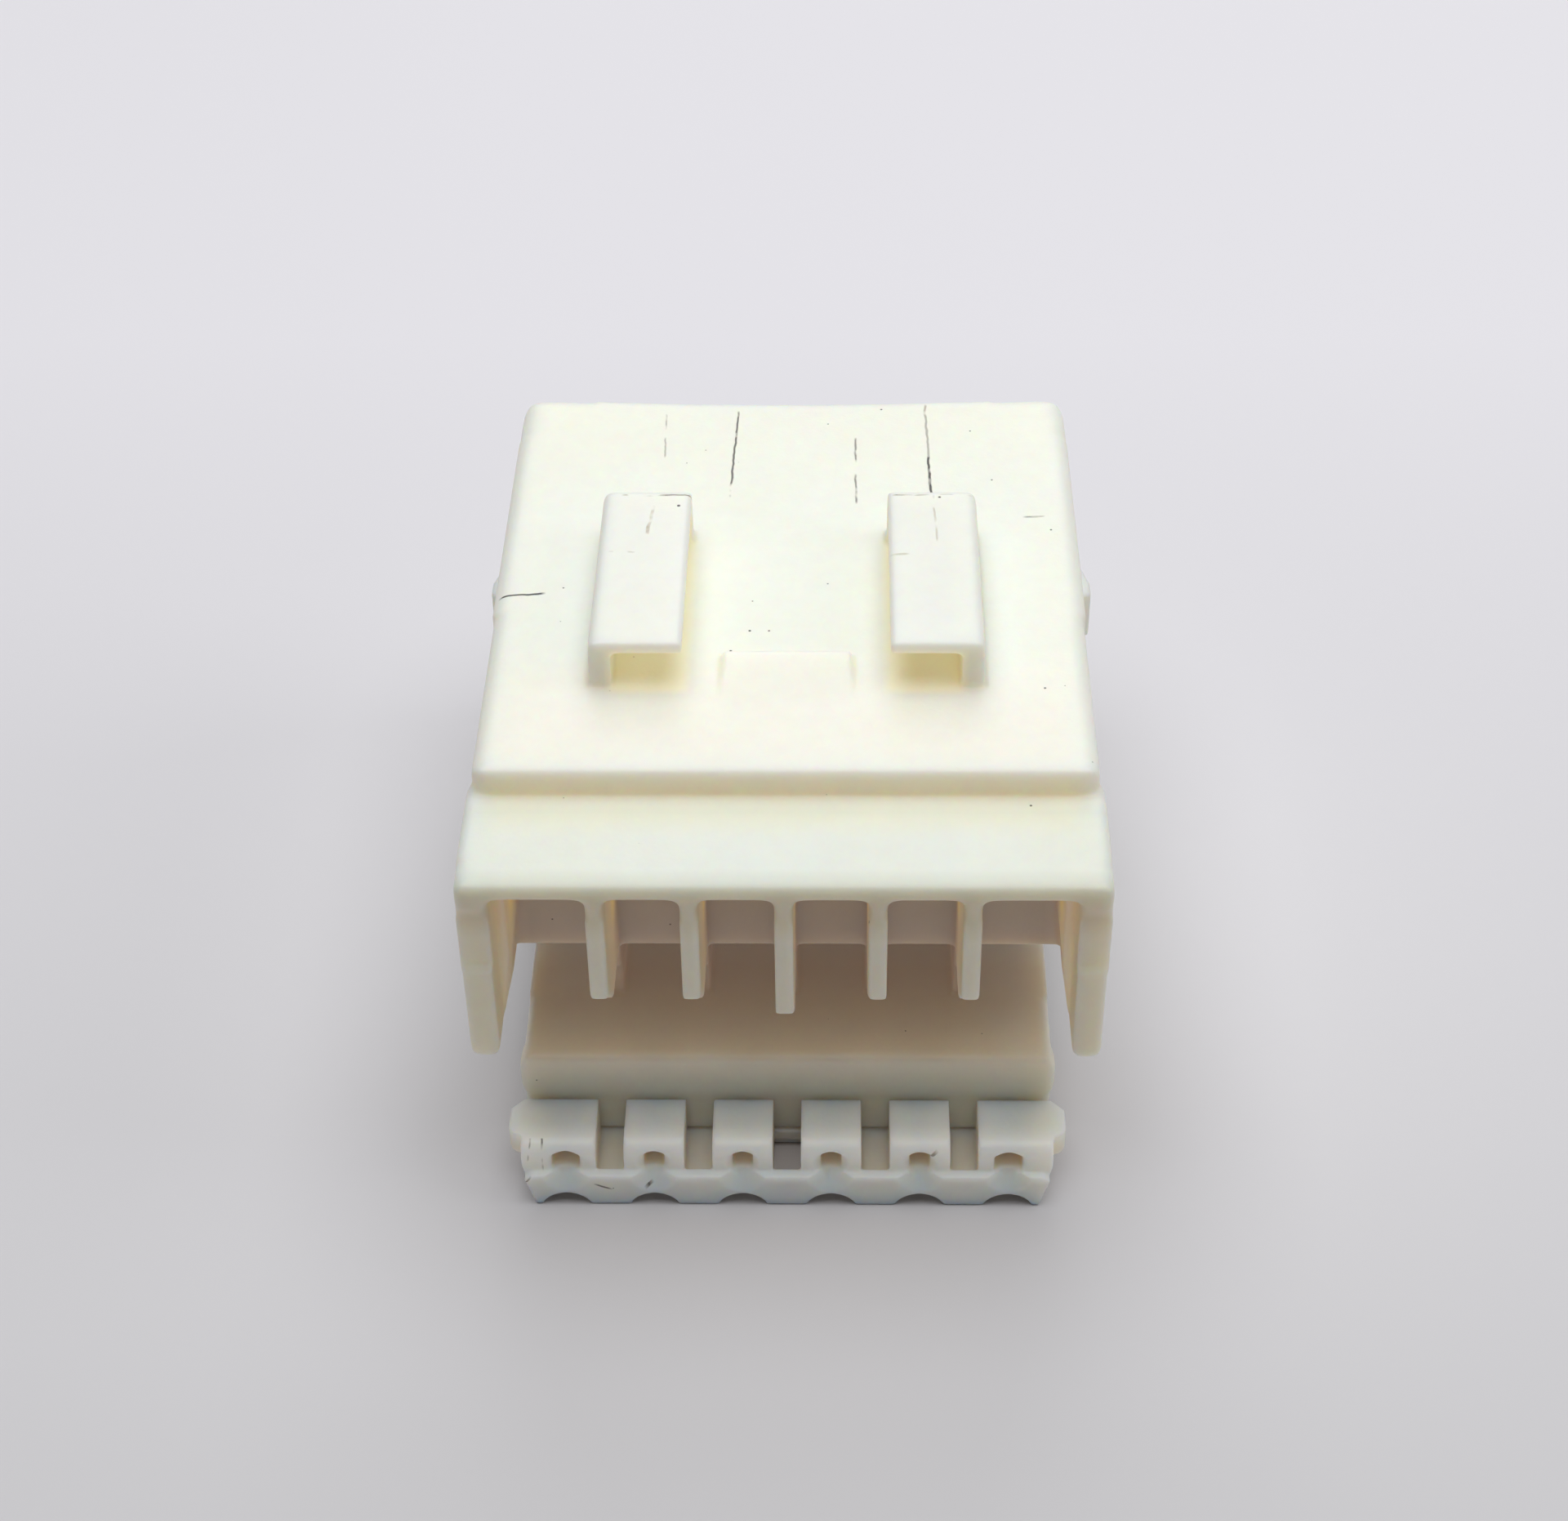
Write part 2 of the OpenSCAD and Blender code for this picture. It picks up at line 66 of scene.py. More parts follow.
NYLON_IOR = 1.53
SCATTER = (1.0, 0.65, 0.38)      # share of the light bleed for red, green and blue
BREAK_SIZE = 0.9 * MM            # length of the gaps in the lines of dirt
BEND_SIZE = 0.5 * MM             # length of their bends

# Lamps: name, tilt from overhead, turn from straight behind the part, half spread, share of the light.
LAMPS = (
    ("key", 3, 0, 30, 0.72),
    ("rear_softbox", 50, 0, 18, 0.20),
    ("right_softbox", 55, -90, 14, 0.12),
)

# Zones of painted light and shade: lowest corner, highest corner and soft edge in mm,
# then the tint of painted shade that the colour is multiplied by there, and the painted glow, an emission
# that stands in for light coming through thin walls.
POCKET = 7.9                     # half width of the space under the hood, in mm
NO_LIGHT = (0.0, 0.0, 0.0)
HOLDER_FRONT = HOLDER_LOW.y / MM
HOUSING_PAINTED_LIGHT_ZONES = (
    ((-10, FRONT - 2, -2), (10, FRONT + 5.5, 10.7), 1.0,
     (0.98, 0.92, 0.86), NO_LIGHT),
    ((-10, FRONT - 2, 10.9), (10, FRONT + 3.3, 12), 0.5,
     (0.86, 0.91, 0.925), NO_LIGHT),
    ((-10, FRONT - 2, 9.9), (10, FRONT + 0.45, 13), 0.7,
     (0.84, 0.84, 0.81), NO_LIGHT),
    ((-POCKET, FRONT + 1.0, 3.2), (POCKET, FRONT + 8, 11.2), 1.0,
     (0.97, 0.96, 0.96), (0.05, 0.034, 0.027)),
    ((-POCKET, FRONT + 3.0, 4.0), (POCKET, FRONT + 9, 8.2), 1.4,
     (0.6, 0.6, 0.62), NO_LIGHT),
    ((-POCKET, FRONT + 2.4, 8.2), (POCKET, FRONT + 7, 11.3), 0.8,
     (1.0, 0.95, 0.68), (0.09, 0.065, 0.01)),
    ((-4.95, FRONT + 7.2, 12.1), (-2.8, FRONT + 14.4, 13.5), 0.3,
     (0.97, 0.95, 0.84), (0.13, 0.11, 0.07)),
    ((2.8, FRONT + 7.2, 12.1), (4.95, FRONT + 14.4, 13.5), 0.3,
     (0.97, 0.95, 0.84), (0.13, 0.11, 0.07)),
)
# Painted light and shade on the front holder: a darker tint of painted shade with a faint painted glow under
# the hood's front, and a painted glow that lightens the front of the arches.
HOLDER_PAINTED_LIGHT_ZONES = (
    ((-8, FRONT - 0.3, -0.5), (8, FRONT + 2, 1.7), 0.4,
     (0.9, 0.84, 0.79), (0.01, 0.006, 0.004)),
    ((-9, HOLDER_FRONT - 1, 1.2), (9, HOLDER_FRONT + 0.9, 5), 0.6,
     (1.0, 1.0, 1.0), (0.06, 0.055, 0.05)),
)

# Places that are rounder than the rest: lowest and highest corner in mm, extra smoothing passes.
HOUSING_ROUNDER = (
    ((-10, FRONT - 1, 10.2), (10, FRONT + 1.3, 12), 26),
    ((-10, REAR - 2.2, 0), (-6.2, REAR + 1, 13), 36),
    ((6.2, REAR - 2.2, 0), (10, REAR + 1, 13), 36),
    ((-6, FRONT + 5, 13.3), (6, FRONT + 16, 15), 8),
)
SAG, SAG_LENGTH, SAG_WIDTH = 0.2, 5.0, 7.6       # dip of the top face towards the wire end, in mm

# Fine lines that hold dirt: middle, direction, facing, length, width, missing share, darkness.
HOUSING_LINES = (
    ((-3.97, FRONT + 20.2, TOP), (-0.03, 1, 0), UP, 2.9, 0.07, 0.42, 0.45),
    ((-3.92, FRONT + 15.6, TOP), (-0.02, 1, 0), UP, 1.6, 0.06, 0.44, 0.5),
    ((-1.79, FRONT + 19.1, TOP), (0.03, 1, 0), UP, 5.0, 0.08, 0.38, 0.9),
    ((1.98, FRONT + 18.1, TOP), BACKWARD, UP, 3.7, 0.08, 0.42, 0.7),
    ((4.2, FRONT + 20.3, TOP), (-0.01, 1, 0), UP, 3.3, 0.09, 0.3, 0.5),
    ((4.24, FRONT + 17.3, TOP), (-0.02, 1, 0), UP, 3.2, 0.1, 0.42, 1.0),
    ((4.25, FRONT + 13.4, RAIL_TOP), (-0.03, 1, 0), UP, 2.4, 0.08, 0.4, 0.35),
    ((-3.98, FRONT + 13.6, RAIL_TOP), (0.1, 1, 0), UP, 2.4, 0.12, 0.56, 0.9),
    ((-4.25, FRONT + 14.55, RAIL_TOP), LEFT, UP, 1.4, 0.1, 0.44, 1.0),
    ((-3.3, FRONT + 14.55, RAIL_TOP), LEFT, UP, 1.0, 0.08, 0.4, 0.8),
    ((4.2, FRONT + 14.55, RAIL_TOP), LEFT, UP, 2.4, 0.08, 0.45, 0.8),
    ((-4.6, FRONT + 11.7, RAIL_TOP), (-1, 0.1, 0), UP, 1.7, 0.1, 0.5, 0.8),
    ((3.2, FRONT + 11.6, RAIL_TOP), LEFT, UP, 0.6, 0.12, 0.4, 0.35),
    ((-7.75, FRONT + 11.68, TOP), (1, 0.12, 0), UP, 1.4, 0.1, 0.15, 1.0),
    ((7.3, FRONT + 15.6, TOP), (1, 0.05, 0), UP, 0.7, 0.1, 0.3, 0.6),
)
HOLDER_LINES = (
    ((-7.3, HOLDER_FRONT + 0.4, 1.6), (0.15, 0, 1), FORWARD, 1.2, 0.06, 0.42, 0.9),
    ((-6.9, HOLDER_FRONT + 0.4, 1.45), (0.02, 0, 1), FORWARD, 1.5, 0.07, 0.4, 0.9),
    ((-7.4, HOLDER_FRONT, 0.9), (0.8, 0, 1), FORWARD, 0.9, 0.06, 0.35, 0.9),
    ((-5.2, HOLDER_FRONT, 0.75), (1, 0, -0.4), FORWARD, 0.6, 0.07, 0.35, 0.8),
    ((-3.9, HOLDER_FRONT, 0.75), (1, 0, 0.6), FORWARD, 0.3, 0.12, 0.3, 0.9),
    ((4.1, HOLDER_FRONT + 0.35, 1.75), (1, 0, 0.9), FORWARD, 0.4, 0.14, 0.3, 0.8),
)


class MouldingSettings(bpy.types.PropertyGroup):
    """Sizes of the softened mouldings, in millimetres."""

    housing_voxel: bpy.props.FloatProperty(
        name="Housing voxel", description="Grid that the housing's edges are rounded on, in mm",
        default=0.08, min=0.05, max=0.2)
    holder_voxel: bpy.props.FloatProperty(
        name="Holder voxel", description="Grid that the front holder's edges are rounded on, in mm",
        default=0.05, min=0.03, max=0.1)
    rounding: bpy.props.IntProperty(
        name="Rounding", description="Smoothing passes that round the edges over",
        default=4, min=1, max=12)
    holder_rounding: bpy.props.IntProperty(
        name="Holder rounding", description="Smoothing passes that round the front holder's edges over",
        default=2, min=1, max=12)
    housing_faces: bpy.props.FloatProperty(
        name="Housing detail", description="Share of the housing's grid faces that is kept",
        default=0.12, min=0.02, max=1.0)
    holder_faces: bpy.props.FloatProperty(
        name="Holder detail", description="Share of the holder's grid faces that is kept",
        default=0.2, min=0.02, max=1.0)


class NylonSettings(bpy.types.PropertyGroup):
    """Colour, translucency and grain of the natural nylon."""

    housing_color: bpy.props.FloatVectorProperty(
        name="Housing colour", description="Colour of the housing's natural nylon",
        subtype="COLOR", size=3, min=0.0, max=1.0, default=(0.91, 0.90, 0.81))
    holder_color: bpy.props.FloatVectorProperty(
        name="Holder colour", description="Colour of the front holder's nylon",
        subtype="COLOR", size=3, min=0.0, max=1.0, default=(0.89, 0.88, 0.82))
    aged_color: bpy.props.FloatVectorProperty(
        name="Aged colour", description="Colour of the nylon where it has yellowed",
        subtype="COLOR", size=3, min=0.0, max=1.0, default=(0.90, 0.85, 0.70))
    aging: bpy.props.FloatProperty(
        name="Aging", description="Share of yellowed nylon in the cloudy patches",
        default=0.25, min=0.0, max=1.0, subtype="FACTOR")
    cloud_size: bpy.props.FloatProperty(
        name="Cloud size", description="Size of the cloudy patches in the nylon",
        default=5 * MM, min=0.5 * MM, subtype="DISTANCE", unit="LENGTH")
    grain_size: bpy.props.FloatProperty(
        name="Grain size", description="Size of the grain that the mould leaves",
        default=0.14 * MM, min=0.02 * MM, subtype="DISTANCE", unit="LENGTH")
    grain_depth: bpy.props.FloatProperty(
        name="Grain depth", description="Depth of the grain that the mould leaves",
        default=0.006 * MM, min=0.0, subtype="DISTANCE", unit="LENGTH")
    bleed: bpy.props.FloatProperty(
        name="Light bleed", description="How far light travels inside the nylon",
        default=1.6 * MM, min=0.0, max=20 * MM, subtype="DISTANCE", unit="LENGTH")
    roughness: bpy.props.FloatProperty(
        name="Roughness", description="Roughness of the moulded skin",
        default=0.42, min=0.0, max=1.0, subtype="FACTOR")


class WearSettings(bpy.types.PropertyGroup):
    """Dirt on the moulded skin."""

    dirt_color: bpy.props.FloatVectorProperty(
        name="Dirt colour", description="Colour of the dust and of the dirt in the fine lines",
        subtype="COLOR", size=3, min=0.0, max=1.0, default=(0.06, 0.055, 0.05))
    speck_spacing: bpy.props.FloatProperty(
        name="Speck spacing", description="Distance between neighbouring places that may hold a speck",
        default=0.55 * MM, min=0.1 * MM, subtype="DISTANCE", unit="LENGTH")
    speck_size: bpy.props.FloatProperty(
        name="Speck size", description="Largest radius of a speck of dust",
        default=0.06 * MM, min=0.0, subtype="DISTANCE", unit="LENGTH")
    speck_share: bpy.props.FloatProperty(
        name="Speck share", description="Share of those places that hold a speck",
        default=0.15, min=0.0, max=1.0, subtype="FACTOR")


class StageSettings(bpy.types.PropertyGroup):
    """Camera, lamps and floor."""

    camera_from_hood: bpy.props.FloatVectorProperty(
        name="Camera from hood", description="Camera's place from the middle of the hood's top front edge",
        subtype="TRANSLATION", unit="LENGTH", size=3, default=(1.423 * MM, -53.947 * MM, 49.921 * MM))
    pitch: bpy.props.FloatProperty(
        name="Pitch", description="How far the camera looks down",
        subtype="ANGLE", unit="ROTATION", default=math.radians(40.152))
    yaw: bpy.props.FloatProperty(
        name="Yaw", description="How far the camera turns to its left",
        subtype="ANGLE", unit="ROTATION", default=math.radians(1.424))
    roll: bpy.props.FloatProperty(
        name="Roll", description="Turn of the camera about its own axis",
        subtype="ANGLE", unit="ROTATION", default=math.radians(-0.863))
    lens: bpy.props.FloatProperty(
        name="Lens", description="Focal length in mm on a 36 mm wide sensor", default=64.803, min=10.0)
    lamp_distance: bpy.props.FloatProperty(
        name="Lamp distance", description="Distance from the lamps to the part",
        default=0.3, min=0.1, subtype="DISTANCE", unit="LENGTH")
    sky: bpy.props.FloatProperty(
        name="Ambient", description="Strength of the even light from all round", default=0.06, min=0.0)
    far_floor: bpy.props.FloatVectorProperty(
        name="Far floor colour", description="Colour of the pale floor behind the part",
        subtype="COLOR", size=3, min=0.0, max=1.0, default=(0.79, 0.78, 0.82))
    # Painted shade: the floor in front of the part is given a darker colour.
    near_floor: bpy.props.FloatVectorProperty(
        name="Near floor colour", description="Colour of the pale floor in front of the part",
        subtype="COLOR", size=3, min=0.0, max=1.0, default=(0.60, 0.595, 0.61))


def link(piece):
    """Puts an object into the scene."""
    bpy.context.scene.collection.objects.link(piece)
    return piece


def round_more(mesh, places):
    """Rounds some places over more than the rest and lets the top face dip at the wire end."""
    bm = bmesh.new()
    bm.from_mesh(mesh)
    for low, high, passes in places:
        verts = [vert for vert in bm.verts
                 if all(least <= value <= most for least, value, most in zip(low, vert.co, high))]
        for _ in range(passes):
            bmesh.ops.smooth_vert(bm, verts=verts, factor=0.5,
                                  use_axis_x=True, use_axis_y=True, use_axis_z=True)
    for vert in bm.verts:
        along = (vert.co.y - REAR) / SAG_LENGTH + 1
        across = 1 - (vert.co.x / SAG_WIDTH) ** 2
        if along > 0 and across > 0 and TOP - 1 < vert.co.z < TOP + 0.5:
            vert.co.z -= SAG * along ** 2 * across * (vert.co.z - TOP + 1)
    bm.to_mesh(mesh)
    bm.free()


def softened_copy(node, name, voxel, passes, share, rounder=()):
    """A closed copy of a CAD node whose edges and corners are rounded over, as a mould leaves them."""
    bm = bmesh.new()
    bm.from_mesh(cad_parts[node].data)
    bmesh.ops.remove_doubles(bm, verts=bm.verts, dist=MERGE)
    bmesh.ops.scale(bm, vec=Vector((1, 1, 1)) / MM, verts=bm.verts)
    draft = link(bpy.data.objects.new(name + "_draft", bpy.data.meshes.new(name + "_draft")))
    bm.to_mesh(draft.data)
    bm.free()

    grid = draft.modifiers.new("Grid", "REMESH")
    grid.mode = "VOXEL"
    grid.voxel_size = voxel
    soften = draft.modifiers.new("Soften", "SMOOTH")
    soften.factor = 0.5
    soften.iterations = passes
    depsgraph = bpy.context.evaluated_depsgraph_get()
    mesh = bpy.data.meshes.new_from_object(draft.evaluated_get(depsgraph))
    if rounder:
        round_more(mesh, rounder)

    draft.modifiers.clear()
    draft.data = mesh
    thin = draft.modifiers.new("Thin", "DECIMATE")
    thin.ratio = share
    depsgraph = bpy.context.evaluated_depsgraph_get()
    mesh = bpy.data.meshes.new_from_object(draft.evaluated_get(depsgraph))
    bpy.data.objects.remove(draft)

    mesh.name = name
    mesh.transform(Matrix.Scale(MM, 4))
    mesh.polygons.foreach_set("use_smooth", [True] * len(mesh.polygons))
    piece = link(bpy.data.objects.new(name, mesh))
    weigh = piece.modifiers.new("Even shading", "WEIGHTED_NORMAL")
    weigh.weight = 100
    return piece


def add(tree, kind, **inputs):
    """A new node with its sockets set; a socket is named with _ for its spaces, or in0, in1 by place."""
    node = tree.nodes.new(kind)
    for name, value in inputs.items():
        socket = node.inputs[int(name[2:])] if name[:2] == "in" else node.inputs[name.replace("_", " ")]
        if isinstance(value, bpy.types.NodeSocket):
            tree.links.new(value, socket)
        else:
            socket.default_value = value
    return node


def calc(tree, operation, *values, clamp=False):
    """The result of a math node."""
    node = add(tree, "ShaderNodeMath", **{f"in{place}": value for place, value in enumerate(values)})
    node.operation = operation
    node.use_clamp = clamp
    return node.outputs[0]


def calc_vector(tree, operation, *values):
    """The result of a vector math node."""
    node = add(tree, "ShaderNodeVectorMath", **{f"in{place}": value for place, value in enumerate(values)})
    node.operation = operation
    return node.outputs["Value" if operation == "DOT_PRODUCT" else "Vector"]


def blend_colors(tree, share, first, second, blend_type="MIX"):
    """The result of a colour mix node."""
    node = tree.nodes.new("ShaderNodeMix")
    node.data_type = "RGBA"
    node.blend_type = blend_type
    for name, value in (("Factor_Float", share), ("A_Color", first), ("B_Color", second)):
        socket = next(entry for entry in node.inputs if entry.identifier == name)
        if isinstance(value, bpy.types.NodeSocket):
            tree.links.new(value, socket)
        else:
            socket.default_value = value
    return next(entry for entry in node.outputs if entry.identifier == "Result_Color")


def new_group(name, inputs, outputs):
    """An empty shader node group with named float, colour or vector sockets."""
    group = bpy.data.node_groups.new(name, "ShaderNodeTree")
    for socket, kind in inputs:
        group.interface.new_socket(socket, in_out="INPUT", socket_type="NodeSocket" + kind)
    for socket, kind in outputs:
        group.interface.new_socket(socket, in_out="OUTPUT", socket_type="NodeSocket" + kind)
    entry = group.nodes.new("NodeGroupInput")
    end = group.nodes.new("NodeGroupOutput")
    return group, entry.outputs, end.inputs


def place_group(tree, name, **inputs):
    """A node group placed in a material, with its sockets set."""
    node = tree.nodes.new("ShaderNodeGroup")
    node.node_tree = bpy.data.node_groups[name]
    for socket, value in inputs.items():
        target = node.inputs[socket.replace("_", " ")]
        if isinstance(value, bpy.types.NodeSocket):
            tree.links.new(value, target)
        else:
            target.default_value = value
    return node.outputs


def make_cloudy_tone():
    """Node group: slow drifts between a fresh and an aged colour, with faint fine mottling."""
    group, given, result = new_group(
        "cloudy_tone",
        (("Vector", "Vector"), ("Fresh", "Color"), ("Aged", "Color"), ("Aging", "Float"), ("Size", "Float")),
        (("Color", "Color"),))
    scale = calc(group, "DIVIDE", 1.0, given["Size"])
    clouds = add(group, "ShaderNodeTexNoise", Vector=given["Vector"], Scale=scale, Detail=3.0, Roughness=0.5)
    share = calc(group, "MULTIPLY", calc(group, "MULTIPLY_ADD", clouds.outputs["Fac"], 2.4, -0.7, clamp=True),
                 given["Aging"])
    mottle_scale = calc(group, "MULTIPLY", scale, 9.0)
    mottle = add(group, "ShaderNodeTexNoise", Vector=given["Vector"], Scale=mottle_scale, Detail=2.0)
    tone = calc(group, "MULTIPLY_ADD", mottle.outputs["Fac"], 0.05, 0.975)
    mixed = blend_colors(group, share, given["Fresh"], given["Aged"])
    toned = add(group, "ShaderNodeVectorMath", in0=mixed, in3=tone)
    toned.operation = "SCALE"
    group.links.new(toned.outputs[0], result["Color"])


def make_moulded_skin():
    """Node group: fine grain and broad unevenness of a moulded surface, with its gloss."""
    group, given, result = new_group(
        "moulded_skin", (("Vector", "Vector"), ("Size", "Float"), ("Depth", "Float"), ("Roughness", "Float")),
        (("Height", "Float"), ("Roughness", "Float")))
    scale = calc(group, "DIVIDE", 1.0, given["Size"])
    grain = add(group, "ShaderNodeTexNoise", Vector=given["Vector"], Scale=scale, Detail=3.0)
    swell_scale = calc(group, "MULTIPLY", scale, 0.07)
    swell = add(group, "ShaderNodeTexNoise", Vector=given["Vector"], Scale=swell_scale, Detail=1.0)
    height = calc(group, "ADD", grain.outputs["Fac"], calc(group, "MULTIPLY", swell.outputs["Fac"], 4.0))
    group.links.new(calc(group, "MULTIPLY", height, given["Depth"]), result["Height"])
    gloss = calc(group, "MULTIPLY_ADD", swell.outputs["Fac"], 0.16, -0.08)
    group.links.new(calc(group, "ADD", gloss, given["Roughness"]), result["Roughness"])


def make_dust_specks():
    """Node group: small dark specks that lie here and there, of uneven sizes."""
    group, given, result = new_group(
        "dust_specks", (("Vector", "Vector"), ("Spacing", "Float"), ("Size", "Float"), ("Share", "Float")),
        (("Mask", "Float"),))
    scale = calc(group, "DIVIDE", 1.0, given["Spacing"])
    cells = add(group, "ShaderNodeTexVoronoi", Vector=given["Vector"], Scale=scale)
    chance = add(group, "ShaderNodeSeparateColor", Color=cells.outputs["Color"])
    held = calc(group, "LESS_THAN", chance.outputs["Red"], given["Share"])
    reach = calc(group, "MULTIPLY", given["Size"],
                 calc(group, "MULTIPLY_ADD", chance.outputs["Green"], 0.6, 0.4))
    inside = calc(group, "SUBTRACT", reach,
                  calc(group, "MULTIPLY", cells.outputs["Distance"], given["Spacing"]))
    soft = calc(group, "MULTIPLY", inside, calc(group, "DIVIDE", 3.0, given["Size"]), clamp=True)
    group.links.new(calc(group, "MULTIPLY", held, soft), result["Mask"])


def make_soft_zone():
    """Node group: a box-shaped zone with soft edges."""
    group, given, result = new_group(
        "soft_zone", (("Vector", "Vector"), ("Low", "Vector"), ("High", "Vector"), ("Softness", "Float")),
        (("Mask", "Float"),))
    inside = calc_vector(group, "MINIMUM",
                         calc_vector(group, "SUBTRACT", given["Vector"], given["Low"]),
                         calc_vector(group, "SUBTRACT", given["High"], given["Vector"]))
    share = calc_vector(group, "MULTIPLY_ADD", inside, calc(group, "DIVIDE", 1.0, given["Softness"]),
                        (0.5, 0.5, 0.5))
    share = calc_vector(group, "MINIMUM", calc_vector(group, "MAXIMUM", share, (0, 0, 0)), (1, 1, 1))
    parts = add(group, "ShaderNodeSeparateXYZ", Vector=share).outputs
    mask = calc(group, "MULTIPLY", calc(group, "MULTIPLY", parts[0], parts[1]), parts[2])
    group.links.new(mask, result["Mask"])


def make_hair_line():
    """Node group: one thin broken line through its middle, along one direction of a flat face."""
    group, given, result = new_group(
        "hair_line",
        (("Vector", "Vector"), ("Middle", "Vector"), ("Across", "Vector"), ("Along", "Vector"),
         ("Facing", "Vector"), ("Length", "Float"), ("Width", "Float"), ("Reach", "Float"),
         ("Break", "Float"), ("Gaps", "Float"), ("Bend", "Float")),
        (("Mask", "Float"),))
    inside = calc_vector(group, "SUBTRACT", given["Vector"], given["Middle"])
    aside, ahead, above = (calc_vector(group, "DOT_PRODUCT", inside, given[side])
                           for side in ("Across", "Along", "Facing"))
    swing = calc(group, "MULTIPLY", given["Width"], 1.2)
    sway = calc(group, "MULTIPLY", calc(group, "SUBTRACT", given["Bend"], 0.5), swing)
    across = calc(group, "ABSOLUTE", calc(group, "ADD", aside, sway))
    half = calc(group, "MULTIPLY", given["Width"], 0.5)
    thin = calc(group, "MULTIPLY", calc(group, "SUBTRACT", half, across),
                calc(group, "DIVIDE", 2.0, half), clamp=True)
    left = calc(group, "SUBTRACT", calc(group, "MULTIPLY", given["Length"], 0.5),
                calc(group, "ABSOLUTE", ahead))
    ends = calc(group, "MULTIPLY", left, 1.0 / (0.15 * MM), clamp=True)
    near = calc(group, "GREATER_THAN", given["Reach"], calc(group, "ABSOLUTE", above))
    whole = calc(group, "MULTIPLY", calc(group, "SUBTRACT", given["Break"], given["Gaps"]), 9.0, clamp=True)
    mask = calc(group, "MULTIPLY", calc(group, "MULTIPLY", thin, ends), calc(group, "MULTIPLY", near, whole))
    group.links.new(mask, result["Mask"])


def make_finishes():
    """Builds the node groups that the nylons share, once."""
    for maker in (make_cloudy_tone, make_moulded_skin, make_dust_specks, make_soft_zone, make_hair_line):
        if maker.__name__[5:] not in bpy.data.node_groups:
            maker()


def nylon(name, color, looks, wear, painted_light_zones, lines):
    """Natural nylon: a pale, slightly translucent moulded plastic with dust and dirt-filled fine lines, and
    with painted shade and painted glow in set zones.

    Each line is its middle, the direction it runs in, the way its surface faces, its length and
    width, the share of it that is missing and how dark it is. Each zone is its lowest and highest
    corner, its soft edge, the tint of painted shade that multiplies the colour there and the painted glow
    that stands in for light coming through thin walls there.
    """
    material = bpy.data.materials.new(name)
    material.use_nodes = True
    tree = material.node_tree
    tree.nodes.clear()
    out = tree.nodes.new("ShaderNodeOutputMaterial")
    shader = tree.nodes.new("ShaderNodeBsdfPrincipled")
    tree.links.new(shader.outputs["BSDF"], out.inputs["Surface"])
    place = tree.nodes.new("ShaderNodeTexCoord").outputs["Object"]

    tone = place_group(tree, "cloudy_tone", Vector=place, Fresh=(*color, 1.0), Aged=(*looks.aged_color, 1.0),
                       Aging=looks.aging, Size=looks.cloud_size)["Color"]
    skin = place_group(tree, "moulded_skin", Vector=place, Size=looks.grain_size, Depth=looks.grain_depth,
                       Roughness=looks.roughness)
    dirt = place_group(tree, "dust_specks", Vector=place, Spacing=wear.speck_spacing, Size=wear.speck_size,
                       Share=wear.speck_share)["Mask"]
    breaks = add(tree, "ShaderNodeTexNoise", Vector=place, Scale=1.0 / BREAK_SIZE, Detail=2.0).outputs["Fac"]
    bends = add(tree, "ShaderNodeTexNoise", Vector=place, Scale=1.0 / BEND_SIZE, Detail=1.0).outputs["Fac"]
    for middle, along, facing, length, width, gaps, darkness in lines:
        line = place_group(tree, "hair_line", Vector=place, Middle=Vector(middle) * MM,
                           Across=Vector(along).cross(facing).normalized(), Along=Vector(along).normalized(),
                           Facing=facing, Length=length * MM, Width=width * MM, Reach=LINE_REACH,
                           Break=breaks, Gaps=gaps, Bend=bends)["Mask"]
        dirt = calc(tree, "MAXIMUM", dirt, calc(tree, "MULTIPLY", line, darkness))

    painted_glow = (0.0, 0.0, 0.0, 1.0)
    # Painted light and shade: each zone's tint darkens the colour as painted shade, and its light is added to
    # the emission as painted glow.
    for low, high, softness, shade_tint, light in painted_light_zones:
        zone = place_group(tree, "soft_zone", Vector=place, Low=Vector(low) * MM, High=Vector(high) * MM,
                           Softness=softness * MM)["Mask"]
        tone = blend_colors(tree, zone, tone, (*shade_tint, 1.0), "MULTIPLY")
        if light != NO_LIGHT:
            painted_glow = blend_colors(tree, zone, painted_glow, (*light, 1.0), "ADD")
    tree.links.new(painted_glow, shader.inputs["Emission Color"])
    shader.inputs["Emission Strength"].default_value = 1.0
    material.cycles.emission_sampling = "NONE"      # the faint painted glow is no lamp, so renders stay quick

    # The base colour holds the dust, the dirt in the lines and the zones' painted shade.
    dirt_and_painted_shade = blend_colors(tree, dirt, tone, (*wear.dirt_color, 1.0))
    tree.links.new(dirt_and_painted_shade, shader.inputs["Base Color"])
    tree.links.new(skin["Roughness"], shader.inputs["Roughness"])
    bump = add(tree, "ShaderNodeBump", Height=skin["Height"], Distance=1.0)
    tree.links.new(bump.outputs["Normal"], shader.inputs["Normal"])
    shader.inputs["IOR"].default_value = NYLON_IOR
    shader.inputs["Subsurface Weight"].default_value = 1.0
    shader.inputs["Subsurface Radius"].default_value = SCATTER
    shader.inputs["Subsurface Scale"].default_value = looks.bleed
    return material


def finish_piece(piece, node, material):
    """Lets a dressed piece stand for its CAD node."""
    piece.data.materials.clear()
    piece.data.materials.append(material)
    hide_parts(node)
    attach(piece, "root")


